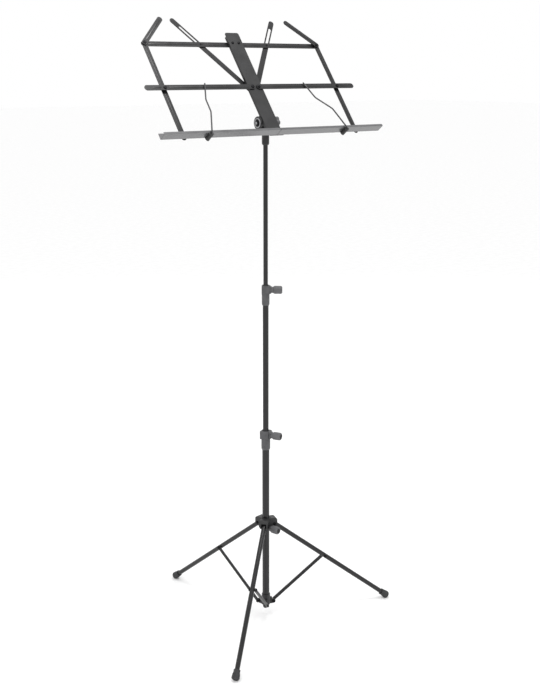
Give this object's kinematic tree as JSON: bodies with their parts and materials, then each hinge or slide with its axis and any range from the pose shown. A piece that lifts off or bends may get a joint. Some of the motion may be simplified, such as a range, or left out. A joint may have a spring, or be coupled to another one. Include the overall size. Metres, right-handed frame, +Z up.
{
  "type": "music stand",
  "caption": "Folding music stand: tripod base, telescoping mast with clamp collars, and an open folding desk with ledge and page holders.",
  "frame": {"origin": "floor level, at the middle of the footprint's bounding rectangle", "axes": "+Z up; the desk faces -Y and leans back to +Y; +X to the reader's right"},
  "size_m": [0.5033, 0.4452, 1.1643],
  "materials": {
    "black_steel": "semi-gloss black powder coat",
    "black_sheet": "satin black powder coat",
    "black_plastic": "moulded black nylon",
    "rubber": "matt black rubber",
    "steel": "bright zinc",
    "nylon": "natural nylon"
  },
  "bodies": {
    "mast": {"lower_tube": "black_steel", "bottom_hub": "black_sheet", "hub_pins": "steel", "lower_clamp": "black_sheet"},
    "lower_thumbscrew": {"lower_clamp_stud": "steel", "lower_clamp_knob": "black_plastic"},
    "leg_collar": {"leg_collar": "black_plastic", "collar_pins": "steel"},
    "collar_thumbscrew": {"collar_stud": "steel", "collar_knob": "black_plastic"},
    "middle_mast": {"middle_tube": "black_steel", "middle_bush": "nylon", "upper_clamp": "black_sheet"},
    "upper_thumbscrew": {"upper_clamp_stud": "steel", "upper_clamp_knob": "black_plastic"},
    "top_mast": {"top_rod": "black_steel", "rod_bush": "nylon"},
    "desk_socket": {"desk_socket": "black_sheet"},
    "desk": {"centre_bar": "black_sheet", "centre_rivets": "steel", "tilt_bolt": "steel", "tilt_disc": "black_plastic"},
    "tilt_knob": {"tilt_knob": "black_plastic"},
    "strut_front": {"strut_front": "black_sheet"},
    "leg_front": {"leg_front": "black_steel", "foot_front": "rubber", "knee_bolt_front": "steel"},
    "strut_right": {"strut_right": "black_sheet"},
    "leg_right": {"leg_right": "black_steel", "foot_right": "rubber", "knee_bolt_right": "steel"},
    "strut_left": {"strut_left": "black_sheet"},
    "leg_left": {"leg_left": "black_steel", "foot_left": "rubber", "knee_bolt_left": "steel"},
    "top_arm_left": {"top_arm_left": "black_sheet", "slot_pin_left": "steel"},
    "middle_arm_left": {"middle_arm_left": "black_sheet"},
    "brace_left": {"brace_left": "black_sheet"},
    "side_bar_left": {"side_bar_left": "black_sheet", "side_rivets_left": "steel"},
    "flap_left": {"flap_left": "black_sheet"},
    "ledge_left": {"ledge_left": "black_sheet", "wire_clip_left": "black_sheet"},
    "page_wire_left": {"page_wire_left": "steel"},
    "top_arm_right": {"top_arm_right": "black_sheet", "slot_pin_right": "steel"},
    "middle_arm_right": {"middle_arm_right": "black_sheet"},
    "brace_right": {"brace_right": "black_sheet"},
    "side_bar_right": {"side_bar_right": "black_sheet", "side_rivets_right": "steel"},
    "flap_right": {"flap_right": "black_sheet"},
    "ledge_right": {"ledge_right": "black_sheet", "wire_clip_right": "black_sheet"},
    "page_wire_right": {"page_wire_right": "steel"}
  },
  "joints": [
    {"name": "leg_fold", "type": "hinge", "parent": "mast", "child": "strut_front", "pos_m": [-0.01215, -0.05441, 0.029], "axis": [-0.6508, 0.7593, 0], "range_deg": [0, 48]},
    {"name": "strut_fold_right", "type": "hinge", "parent": "mast", "child": "strut_right", "pos_m": [0.01509, -0.04931, 0.029], "axis": [-0.3322, -0.9432, 0], "range_deg": [0, 48]},
    {"name": "strut_fold_left", "type": "hinge", "parent": "mast", "child": "strut_left", "pos_m": [-0.00294, -0.02827, 0.029], "axis": [0.9829, 0.184, 0], "range_deg": [0, 48]},
    {"name": "leg_turn_front", "type": "hinge", "parent": "strut_front", "child": "leg_front", "pos_m": [-0.09494, -0.12537, 0.11358], "axis": [-0.6508, 0.7593, 0], "range_deg": [-96, 0]},
    {"name": "collar_turn", "type": "hinge", "parent": "leg_front", "child": "leg_collar", "pos_m": [-0.01215, -0.05441, 0.19816], "axis": [-0.6508, 0.7593, 0], "range_deg": [0, 48]},
    {"name": "leg_turn_right", "type": "hinge", "parent": "leg_collar", "child": "leg_right", "pos_m": [0.01509, -0.04931, 0.19816], "axis": [-0.3322, -0.9432, 0], "range_deg": [-48, 0]},
    {"name": "leg_turn_left", "type": "hinge", "parent": "leg_collar", "child": "leg_left", "pos_m": [-0.00294, -0.02827, 0.19816], "axis": [0.9829, 0.184, 0], "range_deg": [-48, 0]},
    {"name": "collar_knob_turn", "type": "hinge", "parent": "leg_collar", "child": "collar_thumbscrew", "pos_m": [0, -0.044, 0.19116], "axis": [0.184, -0.9829, 0], "range_deg": [-360, 0]},
    {"name": "lower_knob_turn", "type": "hinge", "parent": "mast", "child": "lower_thumbscrew", "pos_m": [0, -0.044, 0.3828], "axis": [0.454, -0.891, 0], "range_deg": [-360, 0]},
    {"name": "upper_knob_turn", "type": "hinge", "parent": "middle_mast", "child": "upper_thumbscrew", "pos_m": [0, -0.044, 0.6688], "axis": [0.766, -0.6428, 0], "range_deg": [-360, 0]},
    {"name": "middle_slide", "type": "slide", "parent": "mast", "child": "middle_mast", "axis": [0, 0, 1], "range_m": [-0.24, 0.02]},
    {"name": "top_slide", "type": "slide", "parent": "middle_mast", "child": "top_mast", "axis": [0, 0, 1], "range_m": [-0.25, 0.02]},
    {"name": "desk_swivel", "type": "hinge", "parent": "top_mast", "child": "desk_socket", "pos_m": [0, -0.044, 0.938], "axis": [0, 0, 1], "continuous": true},
    {"name": "desk_tilt", "type": "hinge", "parent": "desk_socket", "child": "desk", "pos_m": [0, -0.044, 0.978], "axis": [-1, 0, 0], "range_deg": [-37, 43]},
    {"name": "tilt_knob_turn", "type": "hinge", "parent": "desk", "child": "tilt_knob", "pos_m": [0.02, -0.044, 0.978], "axis": [1, 0, 0], "range_deg": [-360, 0]},
    {"name": "desk_fold_left", "type": "hinge", "parent": "desk", "child": "top_arm_left", "pos_m": [-0.007, 0.05172, 1.11627], "axis": [0, 0.7955, -0.606], "range_deg": [0, 80]},
    {"name": "middle_arm_fold_left", "type": "hinge", "parent": "desk", "child": "middle_arm_left", "pos_m": [-0.007, -0.01478, 1.04185], "axis": [0, 0.7955, -0.606], "range_deg": [0, 80]},
    {"name": "brace_fold_left", "type": "hinge", "parent": "desk", "child": "brace_left", "pos_m": [-0.007, -0.00698, 1.03591], "axis": [0, 0.7955, -0.606], "range_deg": [0, 30.01]},
    {"name": "ledge_fold_left", "type": "hinge", "parent": "desk", "child": "ledge_left", "pos_m": [-0.007, -0.07496, 0.96261], "axis": [0, 0.7955, -0.606], "range_deg": [0, 80]},
    {"name": "side_bar_turn_left", "type": "hinge", "parent": "top_arm_left", "child": "side_bar_left", "pos_m": [-0.196, 0.05013, 1.11749], "axis": [0, 0.7955, -0.606], "range_deg": [-80, 0]},
    {"name": "flap_turn_left", "type": "hinge", "parent": "side_bar_left", "child": "flap_left", "pos_m": [-0.196, 0.04854, 1.1187], "axis": [0, -0.7955, 0.606], "range_deg": [-43, 222]},
    {"name": "page_wire_turn_left", "type": "hinge", "parent": "ledge_left", "child": "page_wire_left", "pos_m": [-0.154, -0.08684, 0.95972], "axis": [0, -0.7955, 0.606], "range_deg": [-57, 98]},
    {"name": "desk_fold_right", "type": "hinge", "parent": "desk", "child": "top_arm_right", "pos_m": [0.007, 0.05172, 1.11627], "axis": [0, -0.7955, 0.606], "range_deg": [0, 80]},
    {"name": "middle_arm_fold_right", "type": "hinge", "parent": "desk", "child": "middle_arm_right", "pos_m": [0.007, -0.01478, 1.04185], "axis": [0, -0.7955, 0.606], "range_deg": [0, 80]},
    {"name": "brace_fold_right", "type": "hinge", "parent": "desk", "child": "brace_right", "pos_m": [0.007, -0.00698, 1.03591], "axis": [0, -0.7955, 0.606], "range_deg": [0, 30.01]},
    {"name": "ledge_fold_right", "type": "hinge", "parent": "desk", "child": "ledge_right", "pos_m": [0.007, -0.07496, 0.96261], "axis": [0, -0.7955, 0.606], "range_deg": [0, 80]},
    {"name": "side_bar_turn_right", "type": "hinge", "parent": "top_arm_right", "child": "side_bar_right", "pos_m": [0.196, 0.05013, 1.11749], "axis": [0, -0.7955, 0.606], "range_deg": [-80, 0]},
    {"name": "flap_turn_right", "type": "hinge", "parent": "side_bar_right", "child": "flap_right", "pos_m": [0.196, 0.04854, 1.1187], "axis": [0, 0.7955, -0.606], "range_deg": [-43, 222]},
    {"name": "page_wire_turn_right", "type": "hinge", "parent": "ledge_right", "child": "page_wire_right", "pos_m": [0.154, -0.08684, 0.95972], "axis": [0, 0.7955, -0.606], "range_deg": [-57, 98]}
  ],
  "couplings": [
    {"joint": "strut_fold_right", "follows": "leg_fold", "ratio": 1},
    {"joint": "strut_fold_left", "follows": "leg_fold", "ratio": 1},
    {"joint": "leg_turn_front", "follows": "leg_fold", "ratio": -2},
    {"joint": "collar_turn", "follows": "leg_fold", "ratio": 1},
    {"joint": "leg_turn_right", "follows": "leg_fold", "ratio": -1},
    {"joint": "leg_turn_left", "follows": "leg_fold", "ratio": -1},
    {"joint": "middle_arm_fold_left", "follows": "desk_fold_left", "ratio": 1},
    {"joint": "brace_fold_left", "follows": "desk_fold_left", "ratio": 0.375},
    {"joint": "ledge_fold_left", "follows": "desk_fold_left", "ratio": 1},
    {"joint": "side_bar_turn_left", "follows": "desk_fold_left", "ratio": -1},
    {"joint": "middle_arm_fold_right", "follows": "desk_fold_right", "ratio": 1},
    {"joint": "brace_fold_right", "follows": "desk_fold_right", "ratio": 0.375},
    {"joint": "ledge_fold_right", "follows": "desk_fold_right", "ratio": 1},
    {"joint": "side_bar_turn_right", "follows": "desk_fold_right", "ratio": -1}
  ]
}
